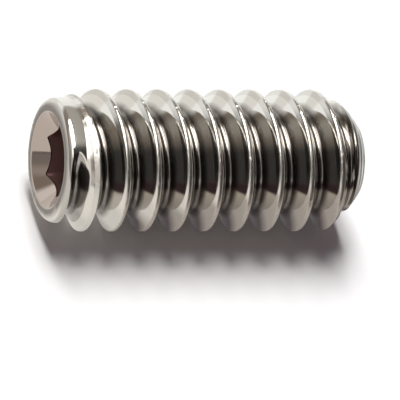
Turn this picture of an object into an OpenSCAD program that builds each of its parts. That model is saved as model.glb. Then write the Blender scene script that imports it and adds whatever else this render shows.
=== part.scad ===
// Headless set screw: hex socket at one end, coarse right-hand thread all along, cup point at the other.
// It stands on the rim of its point. The axis is Z and the origin is the middle of that rim.

/* [Body] */
// Overall length, from the point's rim to the socket's face
length = 7.9; // [6:0.1:12]
// Diameter over the thread's crests
major_d = 3.45; // [3.35:0.01:3.51]

/* [Thread] */
// Distance from one crest to the next
pitch = 0.79375; // [0.7:0.00025:0.85]
// Depth of the groove, as a share of the pitch
depth_share = 0.65; // [0.55:0.01:0.66]
// Width of the flat on each crest, as a share of the pitch
crest_share = 0.12; // [0.06:0.01:0.18]
// Angle between the groove's two flanks
flank_angle = 60; // [55:1:61]
// Turn of the whole thread about the axis
thread_turn = 45; // [0:5:355]
// Part of a turn, in degrees, over which the groove fades out at the socket end
run_out = 45; // [40:5:120]
// Distance of the groove's middle from the end face where it has faded out
run_gap = 0.2; // [0:0.01:0.25]

/* [Socket end] */
// Width across the flats of the hex socket
key_w = 1.5875; // [1.4:0.0005:1.65]
// Depth of the flats below the end face
socket_depth = 2.05; // [1.5:0.05:2.6]
// Included angle of the drill point under the socket
drill_angle = 118; // [100:1:140]
// Diameter of the countersink at the end face
mouth_d = 2.35; // [2.1:0.01:2.5]
// Included angle of the countersink
mouth_angle = 90; // [80:1:110]
// Outer diameter of the ring-shaped end face
lip_d = 3; // [2.85:0.01:3.1]
// Rounding of the ring's outer edge
lip_round = 0.12; // [0.04:0.01:0.15]
// Distance from the end face at which the crests have their full height
lead_in = 0.85; // [0.7:0.01:1.2]
// Diameter at which the lead-in turns from a slow cone to a steeper one
lead_d = 3.06; // [3.03:0.01:3.3]
// Distance of that turn from the end face
lead_step = 0.46; // [0.2:0.01:0.6]
// Turn of the socket's corners about the axis
socket_turn = 52; // [0:1:59]

/* [Point] */
// Outer diameter of the point's rim
cup_d = 1.9; // [1.6:0.01:2.1]
// Angle from the axis of the nose cone next to the rim
nose_angle = 50; // [45:1:60]
// Diameter at which the nose cone turns into the slimmer bevel
nose_d = 2.56; // [2.3:0.01:2.8]
// Angle from the axis of the bevel between nose cone and thread
bevel_angle = 40; // [35:1:45]
// Width of the flat land on the rim
rim_land = 0.06; // [0.03:0.01:0.1]
// Included angle of the cup
cup_angle = 118; // [100:1:130]

/* [Hidden] */
STEEL = [0.78, 0.77, 0.74];
segments = 36;
major_r = major_d / 2;
thread_depth = depth_share * pitch;
root_r = major_r - thread_depth;
groove_w = pitch * (1 - crest_share);
root_w = groove_w - 2 * thread_depth * tan(flank_angle / 2);
over = pitch * crest_share / 3;
over_w = groove_w + 2 * over * tan(flank_angle / 2);
end_turn = 360 * ((length - run_gap) / pitch + 1);
lead_r = lead_d / 2;
lip_r = lip_d / 2;
mouth_r = mouth_d / 2;
mouth_h = mouth_r / tan(mouth_angle / 2);
flat_r = key_w / 2;
corner_r = flat_r / cos(30);
drill_h = flat_r / tan(drill_angle / 2);
rim_r = cup_d / 2;
cup_r = rim_r - rim_land;
cup_h = cup_r / tan(cup_angle / 2);
nose_r = nose_d / 2;
nose_h = (nose_r - rim_r) / tan(nose_angle);
bevel_h = nose_h + (major_r - nose_r) / tan(bevel_angle);

// The turned blank: point of two cones, straight body, lead-in of two cones and a ring with a rounded edge.
module blank() {
    lip_edge = [for (a = [0 : 22.5 : 90])
        [lip_r - lip_round * (1 - cos(a)), length - lip_round * (1 - sin(a))]];
    rotate_extrude($fn = 96)
        polygon(concat(
            [[0, 0], [rim_r, 0], [nose_r, nose_h], [major_r, bevel_h]],
            [[major_r, length - lead_in], [lead_r, length - lead_step]],
            lip_edge,
            [[0, length]]));
}

// The four corners of the groove's section at one place along the helix, lifted out where it fades.
function groove_section(turn) =
    let (
        mid = pitch * (turn / 360 - 1),
        fade = max(0, 1 - (end_turn - turn) / run_out),
        lift = fade * (thread_depth + over),
        angle = turn + thread_turn)
    [for (p = [
        [major_r + over, -over_w / 2],
        [root_r, -root_w / 2],
        [root_r, root_w / 2],
        [major_r + over, over_w / 2]])
        [(p[0] + lift) * cos(angle), (p[0] + lift) * sin(angle), mid + p[1]]];

// The helical groove between the crests, from below the point to where it fades out at the ring.
module groove() {
    steps = ceil(end_turn / 360 * segments);
    corners = [for (i = [0 : steps]) each groove_section(i * end_turn / steps)];
    sides = [for (i = [0 : steps - 1], k = [0 : 3])
        let (a = 4 * i + k, b = 4 * i + (k + 1) % 4)
        each [[a, b + 4, b], [a, a + 4, b + 4]]];
    ends = [[0, 1, 2, 3], [for (k = [3 : -1 : 0]) 4 * steps + k]];
    polyhedron(corners, concat(sides, ends), convexity = 12);
}

// The hex hole with its drill point and the countersink over it.
module socket() {
    translate([0, 0, length - socket_depth]) {
        rotate(socket_turn) cylinder(r = corner_r, h = socket_depth + 1, $fn = 6);
        translate([0, 0, -drill_h]) cylinder(r1 = 0, r2 = flat_r, h = drill_h, $fn = 96);
    }
    translate([0, 0, length - mouth_h]) cylinder(r1 = 0, r2 = mouth_r, h = mouth_h, $fn = 96);
}

// The hollow in the point that leaves its rim as a sharp ring.
module cup() {
    cylinder(r1 = cup_r, r2 = 0, h = cup_h, $fn = 96);
}

module set_screw() {
    color(STEEL)
        difference() {
            blank();
            groove();
            socket();
            cup();
        }
}

set_screw();
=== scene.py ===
import math

import bpy
from mathutils import Matrix, Vector


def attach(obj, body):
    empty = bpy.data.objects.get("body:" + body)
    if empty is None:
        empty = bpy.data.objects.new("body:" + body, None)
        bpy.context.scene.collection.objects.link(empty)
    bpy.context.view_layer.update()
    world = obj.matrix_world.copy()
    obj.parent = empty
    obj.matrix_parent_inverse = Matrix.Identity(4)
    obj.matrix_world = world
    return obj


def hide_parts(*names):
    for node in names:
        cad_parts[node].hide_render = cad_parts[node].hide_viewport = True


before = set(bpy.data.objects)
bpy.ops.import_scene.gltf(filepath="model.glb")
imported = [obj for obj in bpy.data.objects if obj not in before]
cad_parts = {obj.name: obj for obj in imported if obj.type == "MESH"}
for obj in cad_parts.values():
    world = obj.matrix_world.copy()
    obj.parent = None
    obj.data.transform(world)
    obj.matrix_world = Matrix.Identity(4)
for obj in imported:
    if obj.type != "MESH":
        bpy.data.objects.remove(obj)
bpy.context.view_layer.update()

# The screw is modelled in millimetres, one unit each, and shrunk to metres at the end.
millimetre = 0.001

screwSizes = {
    "length": 7.9,
    "crestRadius": 1.725,
    "pitch": 0.79375,
    "threadTurn": 45,  # degrees
    "grooveDepth": 0.516,
    "crestFlat": 0.095,
    "rootFlat": 0.103,
    "crestRounding": 0.035,
    "rootRounding": 0.06,
    "turns": 13,
    "stepsPerTurn": 180,
    "fadeEnds": 7.7,  # height of the groove's middle where it has faded out
    "fadeTurns": 0.125,
    "leadIn": 0.85,
    "leadRadius": 1.53,
    "leadStep": 0.46,
    "ringRadius": 1.5,
    "ringRounding": 0.18,
    "mouthRadius": 1.175,
    "mouthRounding": 0.04,
    "flatsWidth": 1.5875,
    "flatsDepth": 2.05,
    "flatsTurn": 52,  # degrees
    "cornerRounding": 0.04,
    "drillAngle": 118,
    "drillLap": 0.05,
    "rimRadius": 0.95,
    "rimRounding": 0.03,
    "noseRadius": 1.28,
    "noseAngle": 50,
    "noseRounding": 0.12,
    "bevelAngle": 40,
    "rimLand": 0.06,
    "cupAngle": 118,
    "cupBlunt": 0.08,
    "cupRounding": 0.07,
    "blankSteps": 256,
    "drillSteps": 96,
    "smoothAngle": 20,
}


def deselectAll():
    if bpy.context.mode != "OBJECT":
        bpy.ops.object.mode_set(mode="OBJECT")
    bpy.ops.object.select_all(action="DESELECT")


def makeActive(piece):
    deselectAll()
    piece.select_set(True)
    bpy.context.view_layer.objects.active = piece


def drawProfile(name, points):
    # a plane merged to one point, then pulled along the outline in the XZ plane
    deselectAll()
    bpy.ops.mesh.primitive_plane_add(size=0.1, location=(points[0][0], 0, points[0][1]))
    piece = bpy.context.object
    piece.name = name
    bpy.ops.object.mode_set(mode="EDIT")
    bpy.ops.mesh.select_mode(type="VERT")
    bpy.ops.mesh.select_all(action="SELECT")
    bpy.ops.mesh.merge(type="CENTER")
    for (r, z), (nextR, nextZ) in zip(points, points[1:]):
        move = (nextR - r, 0, nextZ - z)
        bpy.ops.mesh.extrude_region_move(TRANSFORM_OT_translate={"value": move})
    bpy.ops.object.mode_set(mode="OBJECT")
    bpy.ops.object.transform_apply(location=True, rotation=True, scale=True)
    return piece


def pick(piece, kind, test):
    # selects vertices, edges or faces by a test on their middle
    bpy.ops.object.mode_set(mode="EDIT")
    bpy.ops.mesh.select_mode(type=kind)
    bpy.ops.mesh.select_all(action="DESELECT")
    bpy.ops.object.mode_set(mode="OBJECT")
    points = piece.data.vertices
    if kind == "VERT":
        for vertex in points:
            vertex.select = test(vertex.co)
    elif kind == "EDGE":
        for edge in piece.data.edges:
            edge.select = test((points[edge.vertices[0]].co + points[edge.vertices[1]].co) / 2)
    else:
        for face in piece.data.polygons:
            face.select = test(face.center)
    bpy.ops.object.mode_set(mode="EDIT")


def roundCorners(piece, offset, segments, test):
    pick(piece, "VERT", test)
    bpy.ops.mesh.bevel(affect="VERTICES", offset=offset, segments=segments)
    bpy.ops.object.mode_set(mode="OBJECT")


def closeUp(piece):
    bpy.ops.object.mode_set(mode="EDIT")
    bpy.ops.mesh.select_all(action="SELECT")
    bpy.ops.mesh.remove_doubles(threshold=0.0001)
    bpy.ops.mesh.normals_make_consistent(inside=False)
    bpy.ops.object.mode_set(mode="OBJECT")


def turnOnLathe(piece, steps):
    makeActive(piece)
    bpy.ops.object.mode_set(mode="EDIT")
    bpy.ops.mesh.select_all(action="SELECT")
    bpy.ops.mesh.spin(steps=steps, angle=2 * math.pi, center=(0, 0, 0), axis=(0, 0, 1))
    closeUp(piece)


def combine(piece, other, operation):
    makeActive(piece)
    boolean = piece.modifiers.new(operation.title(), "BOOLEAN")
    boolean.object = other
    boolean.operation = operation
    boolean.solver = "EXACT"
    bpy.ops.object.modifier_apply(modifier=boolean.name)
    bpy.data.objects.remove(other)


# how far one solid stands past another that cuts or joins it, and how near counts as at a place
overlap = 0.03
nearly = 0.01


def buildBlank(sizes):
    # the turned body without its thread; its straight part stands a little proud of the crests
    length = sizes["length"]
    proud = sizes["crestRadius"] + overlap
    slope = (sizes["leadIn"] - sizes["leadStep"]) / (sizes["crestRadius"] - sizes["leadRadius"])
    leadTop = sizes["leadStep"] + slope * (proud - sizes["leadRadius"])
    rim = sizes["rimRadius"]
    nose = sizes["noseRadius"]
    noseHeight = (nose - rim) / math.tan(math.radians(sizes["noseAngle"]))
    blank = drawProfile("blank", [
        (0, 0),
        (rim, 0),
        (nose, noseHeight),
        (proud, noseHeight + (proud - nose) / math.tan(math.radians(sizes["bevelAngle"]))),
        (proud, length - leadTop),
        (sizes["leadRadius"], length - sizes["leadStep"]),
        (sizes["ringRadius"], length),
        (0, length),
    ])
    roundCorners(blank, sizes["ringRounding"], 5, lambda p: p.x > rim and p.z > length - nearly)
    roundCorners(blank, sizes["rimRounding"], 3, lambda p: p.x > rim - nearly and p.z < nearly)
    roundCorners(
        blank, sizes["noseRounding"], 4, lambda p: p.x > nose - nearly and p.z < noseHeight + nearly)
    turnOnLathe(blank, sizes["blankSteps"])
    return blank


def buildSocketTool(sizes):
    # hexagon, drill point and countersink as one solid that is cut from the blank
    length = sizes["length"]
    flat = sizes["flatsWidth"] / 2
    floor = length - sizes["flatsDepth"]
    mouth = sizes["mouthRadius"]
    flare = drawProfile("countersink", [
        (0, length - mouth),
        (mouth, length),
        (mouth + 10 * overlap, length),
        (0, length + 20 * overlap),
    ])
    roundCorners(flare, sizes["mouthRounding"], 4, lambda p: abs(p.x - mouth) < nearly)
    turnOnLathe(flare, sizes["blankSteps"])
    deselectAll()
    depth = sizes["flatsDepth"] + 10 * overlap
    bpy.ops.mesh.primitive_cylinder_add(
        vertices=6, radius=flat / math.cos(math.pi / 6), depth=depth, location=(0, 0, floor + depth / 2))
    hexagon = bpy.context.object
    hexagon.name = "hexagon"
    bpy.ops.object.transform_apply(location=True, rotation=True, scale=True)
    firstCorner = hexagon.data.vertices[0].co
    turn = math.radians(sizes["flatsTurn"]) - math.atan2(firstCorner.y, firstCorner.x)
    hexagon.rotation_euler = (0, 0, turn)
    bpy.ops.object.transform_apply(location=True, rotation=True, scale=True)
    middle = floor + depth / 2
    pick(hexagon, "EDGE", lambda p: abs(p.z - middle) < nearly)
    bpy.ops.mesh.bevel(affect="EDGES", offset=sizes["cornerRounding"], segments=4)
    bpy.ops.object.mode_set(mode="OBJECT")
    drillDepth = flat / math.tan(math.radians(sizes["drillAngle"] / 2))
    deselectAll()
    bpy.ops.mesh.primitive_cone_add(
        vertices=sizes["drillSteps"], radius1=0, radius2=flat, depth=drillDepth,
        location=(0, 0, floor - drillDepth / 2))
    drill = bpy.context.object
    drill.name = "drillPoint"
    bpy.ops.object.transform_apply(location=True, rotation=True, scale=True)
    # the drill's rim is drawn up into the hexagon, so the two overlap
    pick(drill, "FACE", lambda p: p.z > floor - nearly)
    bpy.ops.mesh.extrude_region_move(TRANSFORM_OT_translate={"value": (0, 0, sizes["drillLap"])})
    bpy.ops.object.mode_set(mode="OBJECT")
    combine(hexagon, drill, "UNION")
    combine(hexagon, flare, "UNION")
    return hexagon


def buildCupTool(sizes):
    mouth = sizes["rimRadius"] - sizes["rimLand"]
    depth = mouth / math.tan(math.radians(sizes["cupAngle"] / 2))
    blunt = sizes["cupBlunt"]
    tip = depth * (1 - blunt / mouth)
    below = -10 * overlap
    tool = drawProfile("cup", [(0, tip), (blunt, tip), (mouth, 0), (mouth, below), (0, below)])
    roundCorners(tool, sizes["cupRounding"], 4, lambda p: abs(p.x - blunt) < nearly)
    turnOnLathe(tool, sizes["blankSteps"])
    return tool


def buildThread(sizes):
    # one pitch of the thread's section, from the middle of a groove to the middle of the next
    pitch = sizes["pitch"]
    crest = sizes["crestRadius"]
    root = crest - sizes["grooveDepth"]
    start = -2 * pitch
    halfRoot = sizes["rootFlat"] / 2
    halfCrest = sizes["crestFlat"] / 2
    thread = drawProfile("thread", [
        (root, start),
        (root, start + halfRoot),
        (crest, start + pitch / 2 - halfCrest),
        (crest, start + pitch / 2 + halfCrest),
        (root, start + pitch - halfRoot),
        (root, start + pitch),
    ])
    roundCorners(thread, sizes["crestRounding"], 4, lambda p: p.x > crest - nearly)
    inner = start + nearly
    outer = start + pitch - nearly
    roundCorners(
        thread, sizes["rootRounding"], 4, lambda p: p.x < root + nearly and inner < p.z < outer)
    makeActive(thread)
    sweep = thread.modifiers.new("Sweep", "SCREW")
    sweep.axis = "Z"
    sweep.angle = 2 * math.pi
    sweep.screw_offset = pitch
    sweep.iterations = sizes["turns"]
    sweep.steps = sizes["stepsPerTurn"]
    sweep.render_steps = sizes["stepsPerTurn"]
    bpy.ops.object.modifier_apply(modifier=sweep.name)
    bpy.ops.object.mode_set(mode="EDIT")
    bpy.ops.mesh.select_all(action="SELECT")
    bpy.ops.mesh.remove_doubles(threshold=0.0005)
    # both open ends are drawn together to a point, outside the blank
    middle = sizes["length"] / 2
    for isTop in (False, True):
        bpy.ops.mesh.select_mode(type="VERT")
        bpy.ops.mesh.select_all(action="DESELECT")
        bpy.ops.mesh.select_non_manifold(
            extend=False, use_wire=False, use_multi_face=False, use_non_contiguous=False, use_verts=False)
        bpy.ops.object.mode_set(mode="OBJECT")
        ends = [v.index for v in thread.data.vertices if v.select and (v.co.z > middle) == isTop]
        bpy.ops.object.mode_set(mode="EDIT")
        bpy.ops.mesh.select_all(action="DESELECT")
        bpy.ops.object.mode_set(mode="OBJECT")
        for index in ends:
            thread.data.vertices[index].select = True
        bpy.ops.object.mode_set(mode="EDIT")
        bpy.ops.mesh.extrude_region_move(TRANSFORM_OT_translate={"value": (0, 0, 0)})
        bpy.ops.mesh.merge(type="CENTER")
    bpy.ops.mesh.select_all(action="SELECT")
    bpy.ops.mesh.normals_make_consistent(inside=False)
    bpy.ops.object.mode_set(mode="OBJECT")
    thread.rotation_euler = (0, 0, math.radians(sizes["threadTurn"]))
    bpy.ops.object.transform_apply(location=True, rotation=True, scale=True)
    # near the ring the groove rises to the crests' cylinder over part of a turn
    fade = thread.vertex_groups.new(name="fade")
    lastTurn = sizes["fadeEnds"] / pitch
    for vertex in thread.data.vertices:
        turn = (math.atan2(vertex.co.y, vertex.co.x) - math.radians(sizes["threadTurn"])) / (2 * math.pi)
        groove = round(vertex.co.z / pitch - turn) + turn
        weight = min(1, 1 - (lastTurn - groove) / sizes["fadeTurns"])
        if weight > 0 and vertex.co.xy.length > 0.5:
            fade.add([vertex.index], weight * weight * (3 - 2 * weight), "REPLACE")
    rise = thread.modifiers.new("Rise", "CAST")
    rise.cast_type = "CYLINDER"
    rise.factor = 1
    rise.use_radius_as_size = False
    rise.size = crest
    rise.use_z = False
    rise.vertex_group = fade.name
    bpy.ops.object.modifier_apply(modifier=rise.name)
    thread.vertex_groups.clear()
    return thread


def buildScrew(sizes):
    blank = buildBlank(sizes)
    combine(blank, buildSocketTool(sizes), "DIFFERENCE")
    combine(blank, buildCupTool(sizes), "DIFFERENCE")
    print("blank with its socket and cup:", len(blank.data.polygons), "faces")
    screw = buildThread(sizes)
    print("thread:", len(screw.data.polygons), "faces")
    combine(screw, blank, "INTERSECT")
    screw.name = "setScrew"
    screw.data.name = "setScrew"
    screw.scale = (millimetre, millimetre, millimetre)
    bpy.ops.object.transform_apply(location=True, rotation=True, scale=True)
    bpy.ops.object.shade_smooth_by_angle(angle=math.radians(sizes["smoothAngle"]))
    weigh = screw.modifiers.new("Weigh", "WEIGHTED_NORMAL")
    weigh.mode = "FACE_AREA"
    weigh.keep_sharp = True
    bpy.ops.object.modifier_apply(modifier=weigh.name)
    print("screw:", len(screw.data.polygons), "faces")
    return screw


screw = buildScrew(screwSizes)
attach(screw, "root")
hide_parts("set_screw")


def asColor(tone):
    return (tone, tone, tone, 1) if isinstance(tone, float) else tone


class Wire:
    # a node's output socket, with the sums that a material needs
    def __init__(self, tree, socket=None):
        self.tree = tree
        self.socket = socket

    def node(self, kind, settings=None, inputs=None, output=0):
        made = self.tree.nodes.new(kind)
        for name, value in (settings or {}).items():
            if name == "stops":
                elements = made.color_ramp.elements
                for place, tone in value[1:-1]:
                    elements.new(place).color = asColor(tone)
                for element, (place, tone) in zip((elements[0], elements[-1]), (value[0], value[-1])):
                    element.position = place
                    element.color = asColor(tone)
            else:
                setattr(made, name, value)
        for name, value in (inputs or {}).items():
            if isinstance(value, Wire):
                self.tree.links.new(value.socket, made.inputs[name])
            else:
                made.inputs[name].default_value = value
        return Wire(self.tree, made.outputs[output] if made.outputs else None)

    def beside(self, output):
        return Wire(self.tree, self.socket.node.outputs[output])

    def math(self, operation, *values):
        return self.node("ShaderNodeMath", {"operation": operation}, dict(enumerate(values)))

    def __add__(self, other):
        return self.math("ADD", self, other)

    def __radd__(self, other):
        return self.math("ADD", other, self)

    def __sub__(self, other):
        return self.math("SUBTRACT", self, other)

    def __rsub__(self, other):
        return self.math("SUBTRACT", other, self)

    def __mul__(self, other):
        return self.math("MULTIPLY", self, other)

    def __rmul__(self, other):
        return self.math("MULTIPLY", other, self)

    def __truediv__(self, other):
        return self.math("DIVIDE", self, other)

    def __rtruediv__(self, other):
        return self.math("DIVIDE", other, self)


def fadeIn(value, low, high, least=0.0):
    # rises from the least share at the first value to 1 at the second
    return value.node("ShaderNodeMapRange", None, {
        "Value": value, "From Min": low, "From Max": high, "To Min": least, "To Max": 1.0})


def fadeOut(value, low, high, least=0.0):
    return value.node("ShaderNodeMapRange", None, {
        "Value": value, "From Min": low, "From Max": high, "To Min": 1.0, "To Max": least})


def blend(share, first, second):
    # so much of the second colour over the first
    return share.node("ShaderNodeMix", {"data_type": "RGBA"}, {0: share, 6: first, 7: second}, output=2)


def rampOf(value, stops):
    return value.node("ShaderNodeValToRGB", {"stops": stops}, {"Fac": value})


# Pairs are where a mask starts to change and where it ends: radii and heights in millimetres,
# places across the thread as shares of its pitch.
steelFinish = {
    "color": (0.8, 0.785, 0.75, 1),
    "roughness": 0.08,
    "lineSpacing": 0.045,  # millimetres between rolling lines
    "lineDrift": (0.35, 0.9),  # how fast the lines change across and along the screw
    "lineRoughness": 0.08,
    "lineBump": 0.12,
    "lineLeast": 0.3,  # on the flanks, against 1.3 on the crests
    "cloudScale": 2.2,
    "cloudRoughness": 0.06,
    "threadRadius": (1.5, 1.6),
    "crestHalf": (0.055, 0.075),
    "crestRoughness": 0.26,
    "crestFront": (0.9, 1.4),
    "dentScale": 9,
    "dentTones": (0.56, 0.7),
    "dentBump": 1.2,
    # the roots' colour stands for grime and for painted shade in the grooves
    "rootGrimeAndShadeColor": (0.2, 0.185, 0.175, 1),
    "rootRoughness": 0.14,
    "rootFade": (0.08, 0.22),  # above the root
    "rootInside": (-0.03, -0.01),  # below it
    "rootShare": 0.45,
    "rootFirst": (0.3, 0.45),
    # where the groove's shallow end under the ring gets painted shade
    "runOutRadius": (1.485, 1.505),
    "runOutInside": (1.1, 1.15),
    "runOutFirst": (7.05, 7.25),
    "runOutLast": (7.76, 7.8),
    "runOutShare": 0.6,
    # where the flank that faces the point gets painted shade
    "flankFirst": (0.05, 0.1),
    "flankLast": (0.42, 0.45),
    "flankHeight": (0.6, 0.8),
    "pointFlankShadeShare": 0.35,
    "pointFlankRootShade": 0.3,
    # a dark rolling seam along the crests, partly painted shade
    "seamAndShadeColor": (0.16, 0.15, 0.145, 1),
    "seamPlace": 0.605,
    "seamHalf": (0.0465, 0.062),
    "seamUnder": (-0.7, -0.25),
    "seamOver": (0.8, 1.3, 0.25),
    "seamShare": 0.3,
    "mouthColor": (0.52, 0.45, 0.41, 1),
    "mouthHeight": (4.0, 4.5),
    "socketColor": (0.46, 0.31, 0.3, 1),
    "socketRoughness": 0.35,
    "socketFade": (-0.04, -0.01),  # from the countersink's cone
    "socketRadius": (0.95, 1.0),
    "ringSpacing": 0.13,  # millimetres between turning rings on the point
    "ringFirst": (0.02, 0.06),
    "ringLast": (0.45, 0.6),
    "ringBump": 1.5,
    "bumpStrength": 0.35,
    "bumpDepth": 0.02,
}


def makeSteel(finish, sizes):
    material = bpy.data.materials.new("rolledStainless")
    material.use_nodes = True
    tree = material.node_tree
    tree.nodes.clear()
    start = Wire(tree)
    place = start.node("ShaderNodeTexCoord", output="Object")
    place = start.node("ShaderNodeVectorMath", {"operation": "SCALE"}, {
        "Vector": place, "Scale": 1 / millimetre})
    x = start.node("ShaderNodeSeparateXYZ", None, {"Vector": place})
    y = x.beside("Y")
    z = x.beside("Z")
    squared = x * x + y * y
    radius = squared.math("SQRT", squared)

    # across one pitch: 0 in the groove's middle, 0.5 on the crest, 1 in the next groove
    turn = y.math("ARCTAN2", y, x) / (2 * math.pi)
    across = z.math("FRACT", z / sizes["pitch"] - turn + sizes["threadTurn"] / 360 + 20)
    threaded = fadeIn(radius, *finish["threadRadius"])
    fromCrest = across - 0.5
    crest = fadeOut(fromCrest.math("ABSOLUTE", fromCrest), *finish["crestHalf"]) * threaded

    # rolling lines follow the flanks at one radius each, and change slowly along the screw
    driftAcross, driftAlong = finish["lineDrift"]
    lineAt = start.node("ShaderNodeCombineXYZ", None, {
        "X": radius * (1 / finish["lineSpacing"]), "Y": z * driftAlong, "Z": x * driftAcross})
    lines = start.node("ShaderNodeTexNoise", None, {
        "Vector": lineAt, "Scale": 1, "Detail": 3, "Roughness": 0.6})
    clouds = start.node("ShaderNodeTexNoise", None, {
        "Vector": place, "Scale": finish["cloudScale"], "Detail": 4, "Roughness": 0.55})
    dents = start.node("ShaderNodeTexNoise", None, {
        "Vector": place, "Scale": finish["dentScale"], "Detail": 2, "Roughness": 0.6})
    dents = rampOf(dents, list(zip(finish["dentTones"], (0.0, 1.0))))

    # grime and painted shade lie in the roots, and not on the point's cone or in the countersink
    rootRadius = sizes["crestRadius"] - sizes["grooveDepth"]
    depth = fadeOut(radius, *[rootRadius + edge for edge in finish["rootFade"]])
    outside = fadeIn(radius, *[rootRadius + edge for edge in finish["rootInside"]])
    # painted shade: the groove's shallow end under the ring is darkened all over
    runOutShade = fadeOut(radius, *finish["runOutRadius"]) * fadeIn(radius, *finish["runOutInside"])
    runOutShade = runOutShade * fadeIn(z, *finish["runOutFirst"]) * fadeOut(z, *finish["runOutLast"])
    depth = depth.math("MAXIMUM", depth, runOutShade * finish["runOutShare"])
    depth = depth * outside * fadeIn(z, *finish["rootFirst"])
    pointSide = across.math("LESS_THAN", across, 0.5)
    grimeAndShade = depth * (finish["rootShare"] + clouds + pointSide * finish["pointFlankRootShade"])
    # painted shade: the flank that faces the point is darkened
    pointFlankShade = pointSide * fadeIn(across, *finish["flankFirst"]) * fadeOut(across, *finish["flankLast"])
    pointFlankShade = pointFlankShade * fadeIn(z, *finish["flankHeight"])

    # a rolling seam runs along each crest as a dark line, with painted shade: it is strongest across the
    # screw's middle, weaker at the top and gone towards the table
    fromSeam = across - finish["seamPlace"]
    seamAndShade = fadeOut(fromSeam.math("ABSOLUTE", fromSeam), *finish["seamHalf"])
    seamShadeSide = fadeIn(x, *finish["seamUnder"]) * fadeOut(x, *finish["seamOver"])
    seamAndShade = seamAndShade * threaded * seamShadeSide * (finish["seamShare"] + clouds)

    # the punched socket is duller than the countersink over it
    cone = sizes["length"] - sizes["mouthRadius"]
    socket = fadeOut(z - radius, *[cone + edge for edge in finish["socketFade"]])
    above = fadeIn(z, *finish["mouthHeight"])
    socket = socket * fadeOut(radius, *finish["socketRadius"]) * above

    # grime and painted shade in the roots
    color = blend(grimeAndShade, finish["color"], finish["rootGrimeAndShadeColor"])
    # painted shade on the flank that faces the point
    color = blend(pointFlankShade * finish["pointFlankShadeShare"], color, finish["rootGrimeAndShadeColor"])
    # the seam's dark line, partly painted shade
    color = blend(seamAndShade, color, finish["seamAndShadeColor"])
    color = blend(above * (1 - outside), color, finish["mouthColor"])
    color = blend(socket, color, finish["socketColor"])
    roughness = finish["roughness"] + (lines - 0.5) * finish["lineRoughness"]
    roughness = roughness + (clouds - 0.5) * finish["cloudRoughness"]
    # the crests are rough where they face the camera
    roughness = roughness + crest * fadeOut(x, *finish["crestFront"]) * finish["crestRoughness"]
    roughness = roughness + depth * finish["rootRoughness"] + socket * finish["socketRoughness"]
    height = lines * finish["lineBump"] * (finish["lineLeast"] + crest) - dents * crest * finish["dentBump"]
    # turning rings round the point
    nearPoint = fadeIn(z, *finish["ringFirst"]) * fadeOut(z, *finish["ringLast"])
    nearPoint = nearPoint * radius.math("GREATER_THAN", radius, sizes["rimRadius"])
    wave = z.math("SINE", z * (2 * math.pi / finish["ringSpacing"]))
    height = height + wave * nearPoint * finish["ringBump"]
    bump = start.node("ShaderNodeBump", None, {
        "Height": height,
        "Strength": finish["bumpStrength"],
        "Distance": finish["bumpDepth"] * millimetre})
    surface = start.node("ShaderNodeBsdfPrincipled", None, {
        "Base Color": color,
        "Metallic": 1.0,
        "Roughness": roughness,
        "Normal": bump})
    start.node("ShaderNodeOutputMaterial", None, {"Surface": surface})
    return material


screw.data.materials.clear()
screw.data.materials.append(makeSteel(steelFinish, screwSizes))
print("steel finish done")

# The photo looks at the screw from above the table, with the socket to the left.
cameraView = {
    "elevation": 21,  # degrees from square-on towards the socket
    "tableElevation": 47,  # degrees above the table, about the screw's axis
    "distance": 0.26,
    "frameWidth": 400 / 41.2 * millimetre,
    "target": (-0.966 * millimetre, 0, 3.948 * millimetre),
}
tilt = math.radians(cameraView["elevation"])
towards = Vector((0, -math.cos(tilt), math.sin(tilt)))
rightwards = Vector((0, -math.sin(tilt), -math.cos(tilt)))
upwards = Vector((1, 0, 0))


def turnTo(middle, right, top, back):
    # a placement whose local X, Y and Z point along three directions
    return Matrix.Translation(middle) @ Matrix((right, top, back)).transposed().to_4x4()


cameraData = bpy.data.cameras.new("camera")
camera = bpy.data.objects.new("camera", cameraData)
bpy.context.scene.collection.objects.link(camera)
cameraData.lens = cameraData.sensor_width * cameraView["distance"] / cameraView["frameWidth"]
cameraData.clip_start = 0.01
spot = Vector(cameraView["target"]) + towards * cameraView["distance"]
camera.matrix_world = turnTo(spot, rightwards, upwards, towards)
bpy.context.scene.camera = camera

# The table lies along the screw, tangent to the crests, and is seen from its upper side only; the steel
# mirrors it in painted tones, with a painted shadow beside the screw.
# Places are in millimetres: beyond the screw's axis, or along it from the point's rim to the socket.
tableLook = {
    "size": 0.8,
    "color": (1, 1, 1, 1),
    # a warm painted tint of the table, which the camera never sees
    "paintedReflectionTint": (0.8, 0.745, 0.675, 1),
    "mirrorReach": 10,
    "paintedReflectionTones": [  # how far beyond the axis, the painted tone that the steel mirrors there, and its share; the dark tones beside the screw are a painted shadow
        (-10, (0.05, 0.032, 0.035, 1.0)),
        (-5.4, (0.06, 0.036, 0.04, 1.0)),
        (-4.4, (0.56, 0.49, 0.43, 0.8)),
        (-2.4, (0.46, 0.42, 0.38, 0.8)),
        (-1.3, (0.46, 0.42, 0.385, 0.8)),
        (-0.85, (0.1, 0.085, 0.092, 0.8)),
        (-0.2, (0.15, 0.14, 0.14, 0.8)),
        (1.2, (1.03, 1.04, 1.01, 1.0)),
        (10, (1.04, 1.05, 1.02, 1.0)),
    ],
    # painted shade past the point and a painted pale tone past the socket, both seen only in the steel
    "pointEndPaintedShade": (0.08, 0.06, 0.06, 1),
    "endPlace": (-4.5, -2.2, 0.12),
    "endReach": (8, 12),
    "socketEndPaintedTone": (0.85, 0.82, 0.77, 1),
    "openPlace": (5.8, 6.6),
}
lean = math.radians(cameraView["tableElevation"])
tableUp = Vector((math.cos(lean), -math.sin(lean), 0))
tableFar = Vector((math.sin(lean), math.cos(lean), 0))


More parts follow.
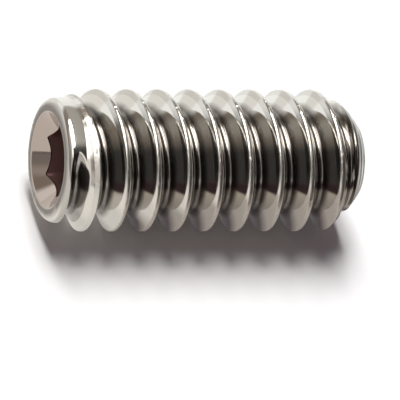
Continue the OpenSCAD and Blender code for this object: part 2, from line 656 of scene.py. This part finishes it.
def makePaper(look):
    paper = bpy.data.materials.new("tablePaper")
    paper.use_nodes = True
    paper.node_tree.nodes.clear()
    start = Wire(paper.node_tree)
    isCamera = start.node("ShaderNodeLightPath", output="Is Camera Ray")
    isGlossy = isCamera.beside("Is Glossy Ray")
    matt = start.node("ShaderNodeBsdfDiffuse", None, {
        "Color": blend(isCamera, look["paintedReflectionTint"], look["color"])})
    ground = start.node("ShaderNodeTexCoord", output="Object")
    ground = start.node("ShaderNodeVectorMath", {"operation": "SCALE"}, {
        "Vector": ground, "Scale": 1 / millimetre})
    beyond = start.node("ShaderNodeSeparateXYZ", None, {"Vector": ground}, output="X")
    along = beyond.beside("Y")
    reach = look["mirrorReach"]
    tones = [((far + reach) / (2 * reach), tone) for far, tone in look["paintedReflectionTones"]]
    mirrored = rampOf(beyond * (0.5 / reach) + 0.5, tones)
    share = mirrored.beside("Alpha")
    # painted shade: past the point the steel mirrors a darkened part of the table, and past the socket a
    # painted light one
    paintedBrightShare = fadeIn(along, *look["endPlace"])
    paintedBrightShare = paintedBrightShare.math("MAXIMUM", paintedBrightShare, fadeIn(beyond, *look["endReach"]))
    mirrored = blend(paintedBrightShare, look["pointEndPaintedShade"], mirrored)
    mirrored = blend(fadeIn(along, *look["openPlace"]), mirrored, look["socketEndPaintedTone"])
    # the painted tones, which only glossy rays see
    paintedGlow = start.node("ShaderNodeEmission", None, {"Color": mirrored, "Strength": 1.0})
    seen = start.node("ShaderNodeMixShader", None, {0: isGlossy * share, 1: matt, 2: paintedGlow})
    clear = start.node("ShaderNodeBsdfTransparent")
    behind = start.node("ShaderNodeNewGeometry", output="Backfacing")
    face = start.node("ShaderNodeMixShader", None, {0: behind, 1: seen, 2: clear})
    start.node("ShaderNodeOutputMaterial", None, {"Surface": face})
    return paper


deselectAll()
bpy.ops.mesh.primitive_plane_add(size=tableLook["size"])
table = bpy.context.object
table.name = "table"
under = tableUp * -(screwSizes["crestRadius"] * millimetre)
table.matrix_world = turnTo(under, tableFar, tableUp.cross(tableFar), tableUp)
table.data.materials.append(makePaper(tableLook))

# A painted room for the steel's reflections, by direction around the screw: white beyond the table, a dim
# ceiling, dark behind the camera. The camera sees it white and other light sees only a dim fill.
# Heights run about the screw's axis from the table's far edge, 0, over the top to its near edge, 1.
# Places along it run from 0, straight past the point, to 1, straight past the socket.
roomLook = {
    "bands": [
        (0.0, (1.0, 1.0, 0.97, 1)),
        (0.1, (1.0, 1.0, 0.97, 1)),
        (0.16, (0.32, 0.275, 0.235, 1)),
        (0.46, (0.32, 0.275, 0.235, 1)),
        (0.65, (0.06, 0.057, 0.055, 1)),
        (1.0, (0.06, 0.057, 0.055, 1)),
    ],
    "fill": (0.1, 0.078, 0.09, 1),
}
# Later patches lie over earlier ones.
roomPatches = [
    {  # a painted light card beside the camera, on the socket's side, seen only in reflections
        "tone": (0.8, 0.74, 0.68, 1),
        "along": [(0.66, 0.0), (0.71, 1.0), (0.84, 1.0), (0.95, 0.3)],
        "height": [(0.3, 0.0), (0.4, 1.0), (0.9, 1.0), (1.0, 0.6)],
    },
    {  # a painted dim panel beside the window
        "tone": (0.42, 0.4, 0.36, 1),
        "along": [(0.365, 0.0), (0.39, 1.0), (0.47, 1.0), (0.5, 0.0)],
        "height": [(0.08, 0.0), (0.12, 1.0), (0.56, 1.0), (0.62, 0.0)],
    },
    {  # painted darkness past the point
        "tone": (0.03, 0.02, 0.022, 1),
        "along": [(0.1, 1.0), (0.18, 0.0)],
        "height": [(0.0, 1.0), (1.0, 1.0)],
    },
    {  # a painted window high up, seen only in reflections, which paints the narrow highlights on crests and roots
        "tone": (12.0, 11.6, 10.9, 1),
        "along": [(0.47, 0.0), (0.49, 1.0), (0.66, 1.0), (0.7, 0.0)],
        "height": [(0.3, 0.0), (0.34, 1.0), (0.56, 1.0), (0.62, 0.0)],
    },
    {  # its dimmer neighbour, a painted highlight on the ring's edge lower down
        "tone": (2.6, 2.5, 2.35, 1),
        "along": [(0.66, 0.0), (0.68, 1.0), (0.78, 1.0), (0.82, 0.0)],
        "height": [(0.36, 0.0), (0.42, 1.0), (0.66, 1.0), (0.74, 0.0)],
    },
]


def paintRoom(look, patches):
    world = bpy.data.worlds.new("room")
    bpy.context.scene.world = world
    world.use_nodes = True
    world.node_tree.nodes.clear()
    start = Wire(world.node_tree)
    facing = start.node("ShaderNodeTexCoord", output="Generated")
    rise = start.node("ShaderNodeVectorMath", {"operation": "DOT_PRODUCT"}, {
        0: facing, 1: tableUp}, output="Value")
    away = start.node("ShaderNodeVectorMath", {"operation": "DOT_PRODUCT"}, {
        0: facing, 1: tableFar}, output="Value")
    rise = rise.math("MAXIMUM", rise, 0.0)
    height = rise.math("ARCTAN2", rise, away) / math.pi
    along = start.node("ShaderNodeSeparateXYZ", None, {"Vector": facing}, output="Z")
    along = along * 0.5 + 0.5
    room = rampOf(height, look["bands"])
    for patch in patches:
        room = blend(rampOf(along, patch["along"]) * rampOf(height, patch["height"]), room, patch["tone"])
    isGlossy = start.node("ShaderNodeLightPath", output="Is Glossy Ray")
    isSeen = isGlossy.beside("Is Camera Ray")
    shown = blend(isSeen, blend(isGlossy, look["fill"], room), (1, 1, 1, 1))
    back = start.node("ShaderNodeBackground", None, {"Color": shown})
    start.node("ShaderNodeOutputWorld", None, {"Surface": back})


paintRoom(roomLook, roomPatches)

# One long lamp above and a little beyond the screw, which throws the shadow towards the camera.
keyLamp = {
    "height": 68,  # degrees up from the table's far edge
    "along": 2,  # degrees towards the socket
    "distance": 0.3,
    "width": 0.1,  # along the screw
    "depth": 0.195,  # across it
    "power": 1.04,
    "color": (1.0, 0.998, 0.99),
}


def addLamp(name, lamp):
    data = bpy.data.lights.new(name, "AREA")
    data.shape = "RECTANGLE"
    data.size = lamp["width"]
    data.size_y = lamp["depth"]
    data.energy = lamp["power"]
    data.color = lamp["color"]
    thing = bpy.data.objects.new(name, data)
    bpy.context.scene.collection.objects.link(thing)
    up = math.radians(lamp["height"])
    side = math.radians(lamp["along"])
    level = tableUp * math.sin(up) + tableFar * math.cos(up)
    ray = level * math.cos(side) + Vector((0, 0, math.sin(side)))
    right = level * -math.sin(side) + Vector((0, 0, math.cos(side)))
    middle = Vector((0, 0, screwSizes["length"] / 2 * millimetre))
    thing.visible_glossy = False  # the steel mirrors the room's painted window highlight instead
    thing.matrix_world = turnTo(middle + ray * lamp["distance"], right, ray.cross(right), ray)


addLamp("keyLamp", keyLamp)
print("camera, table and light done")

bpy.context.scene.view_settings.view_transform = "Standard"
